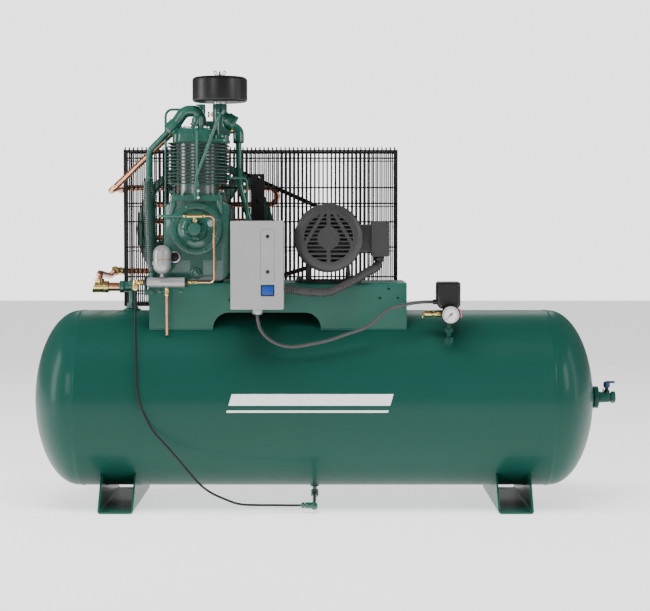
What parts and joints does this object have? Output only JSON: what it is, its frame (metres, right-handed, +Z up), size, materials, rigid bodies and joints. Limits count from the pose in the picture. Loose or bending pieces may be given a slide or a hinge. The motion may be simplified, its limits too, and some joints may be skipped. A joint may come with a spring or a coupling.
{
  "type": "two-stage air compressor",
  "caption": "Belt-driven two-stage piston air compressor with motor, mesh belt guard and controls on a horizontal receiver tank standing on two slotted feet.",
  "frame": {"origin": "on the floor, under the middle of the machine's outer box", "axes": "+X along the tank towards its outlet valve, +Z up, -Y towards the control side with the starter box, gauge and fan cover, +Y towards the belt guard"},
  "size_m": [1.6828, 0.662, 1.245],
  "materials": {
    "green_paint": "gloss dark green",
    "black_paint": "satin black",
    "grey_motor_paint": "satin dark grey",
    "light_grey_paint": "satin light grey",
    "grey_plastic": "matte grey",
    "black_rubber": "matte black",
    "black_plastic": "satin black",
    "steel": "machined",
    "cast_iron": "turned",
    "aluminium": "machined",
    "brass": "turned",
    "copper": null,
    "blue_plastic": "gloss blue",
    "red_plastic": "gloss red"
  },
  "bodies": {
    "machine": {"air_tank": "green_paint", "foot_left": "green_paint", "foot_right": "green_paint", "platform": "green_paint", "crankcase": "green_paint", "crankcase_cover": "green_paint", "low_pressure_cylinder": "green_paint", "high_pressure_cylinder": "green_paint", "low_pressure_head": "green_paint", "high_pressure_head": "green_paint", "intake_stack": "green_paint", "oil_plug": "green_paint", "interstage_elbow": "green_paint", "intercooler": "green_paint", "interstage_return": "green_paint", "check_valve": "green_paint", "unloader_tube": "green_paint", "breather_tube": "green_paint", "pilot_tube": "green_paint", "drain_pipe": "green_paint", "tank_riser": "green_paint", "outlet_valve": "green_paint", "intake_filter": "black_paint", "guard_front": "black_paint", "guard_cage": "black_paint", "guard_bracket": "black_paint", "pressure_gauge": "black_paint", "motor_frame": "grey_motor_paint", "fan_cover": "grey_motor_paint", "motor_end_bell": "grey_motor_paint", "terminal_box": "grey_motor_paint", "pilot_manifold": "light_grey_paint", "pilot_capsule": "light_grey_paint", "starter_enclosure": "light_grey_paint", "enclosure_cover": "light_grey_paint", "motor_conduit": "grey_plastic", "switch_cable": "grey_plastic", "drain_hose": "black_rubber", "drive_belt": "black_rubber", "pressure_switch": "black_plastic", "front_bearing": "steel", "rear_bearing": "steel", "sight_glass": "aluminium", "discharge_elbow": "brass", "discharge_tube": "copper", "sensing_line": "copper", "drip_tube": "copper"},
    "crank": {"crankshaft": "steel", "flywheel": "green_paint"},
    "rotor": {"motor_shaft": "steel", "motor_pulley": "cast_iron", "motor_fan": "black_plastic"},
    "low_piston": {"low_pressure_piston": "aluminium"},
    "high_piston": {"high_pressure_piston": "aluminium"},
    "wing_nut": {"filter_wing_nut": "steel"},
    "button": {"reset_button": "blue_plastic"},
    "unload_lever": {"switch_lever": "red_plastic"},
    "needle": {"gauge_needle": "black_plastic"},
    "relief_ring": {"safety_valve_ring": "brass"},
    "valve_handle": {"outlet_handle": "blue_plastic"}
  },
  "joints": [
    {"name": "crank_spin", "type": "hinge", "parent": "machine", "child": "crank", "pos_m": [-0.364, -0.0275, 0.794], "axis": [0, 1, 0], "continuous": true},
    {"name": "motor_spin", "type": "hinge", "parent": "machine", "child": "rotor", "pos_m": [0.01, -0.0275, 0.769], "axis": [0, 1, 0], "continuous": true},
    {"name": "low_piston_slide", "type": "slide", "parent": "machine", "child": "low_piston", "axis": [0, 0, 1], "range_m": [-0.03, 0.03]},
    {"name": "high_piston_slide", "type": "slide", "parent": "machine", "child": "high_piston", "axis": [0, 0, 1], "range_m": [-0.03, 0.03]},
    {"name": "wing_nut_spin", "type": "hinge", "parent": "machine", "child": "wing_nut", "pos_m": [-0.3005, -0.0875, 1.24], "axis": [0, 0, 1], "continuous": true},
    {"name": "reset_press", "type": "slide", "parent": "machine", "child": "button", "axis": [0, 1, 0], "range_m": [0, 0.003], "stiffness_N_per_m": 500},
    {"name": "unload_lever_tilt", "type": "hinge", "parent": "machine", "child": "unload_lever", "pos_m": [0.374, -0.2055, 0.569], "axis": [0, 1, 0], "range_deg": [0, 30]},
    {"name": "gauge_needle_turn", "type": "hinge", "parent": "machine", "child": "needle", "pos_m": [0.3488, -0.2655, 0.5563], "axis": [0, 1, 0], "range_deg": [0, 270]},
    {"name": "relief_ring_pull", "type": "slide", "parent": "machine", "child": "relief_ring", "axis": [-1, 0, 0], "range_m": [0, 0.004], "stiffness_N_per_m": 500},
    {"name": "outlet_valve_turn", "type": "hinge", "parent": "machine", "child": "valve_handle", "pos_m": [0.8208, -0.0275, 0.332], "axis": [0, 0, 1], "range_deg": [0, 90]}
  ],
  "couplings": [
    {"joint": "motor_spin", "follows": "crank_spin", "ratio": 2.74}
  ]
}
